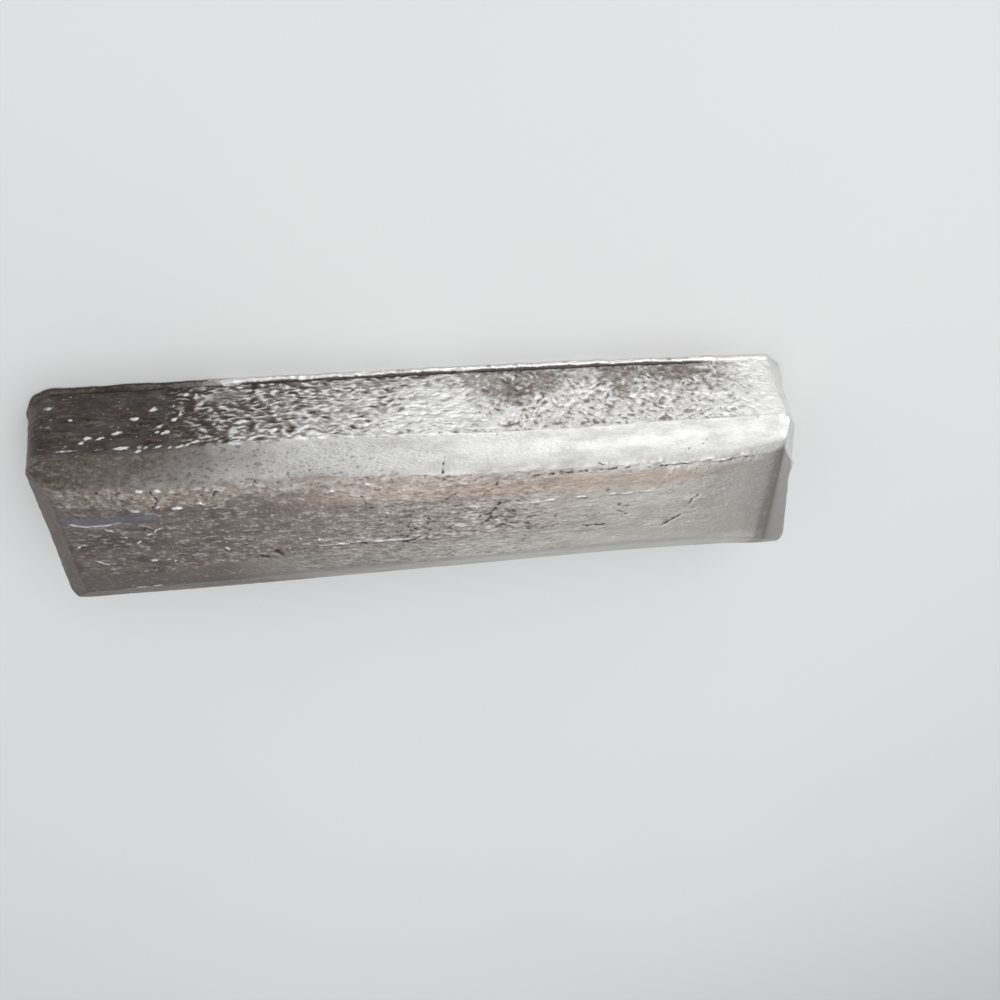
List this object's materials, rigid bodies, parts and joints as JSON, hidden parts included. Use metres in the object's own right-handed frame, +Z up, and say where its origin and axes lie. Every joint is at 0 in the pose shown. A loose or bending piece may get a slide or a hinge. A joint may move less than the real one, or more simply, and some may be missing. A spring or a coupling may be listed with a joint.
{
  "type": "master alloy ingot",
  "caption": "Long cast ingot of aluminium master alloy with flared walls, bevelled crown, thin rim lip and a wavy sunken open side.",
  "frame": {"origin": "on the floor under the middle of the ingot, which lies on its open side", "axes": "+X along the ingot, +Y across it, +Z up from the open side to the crown"},
  "size_m": [0.4246, 0.1246, 0.0563],
  "materials": {
    "cast_alloy": "as-cast skin, silver grey with dull oxide"
  },
  "bodies": {
    "root": {"ingot": "cast_alloy"}
  },
  "joints": []
}
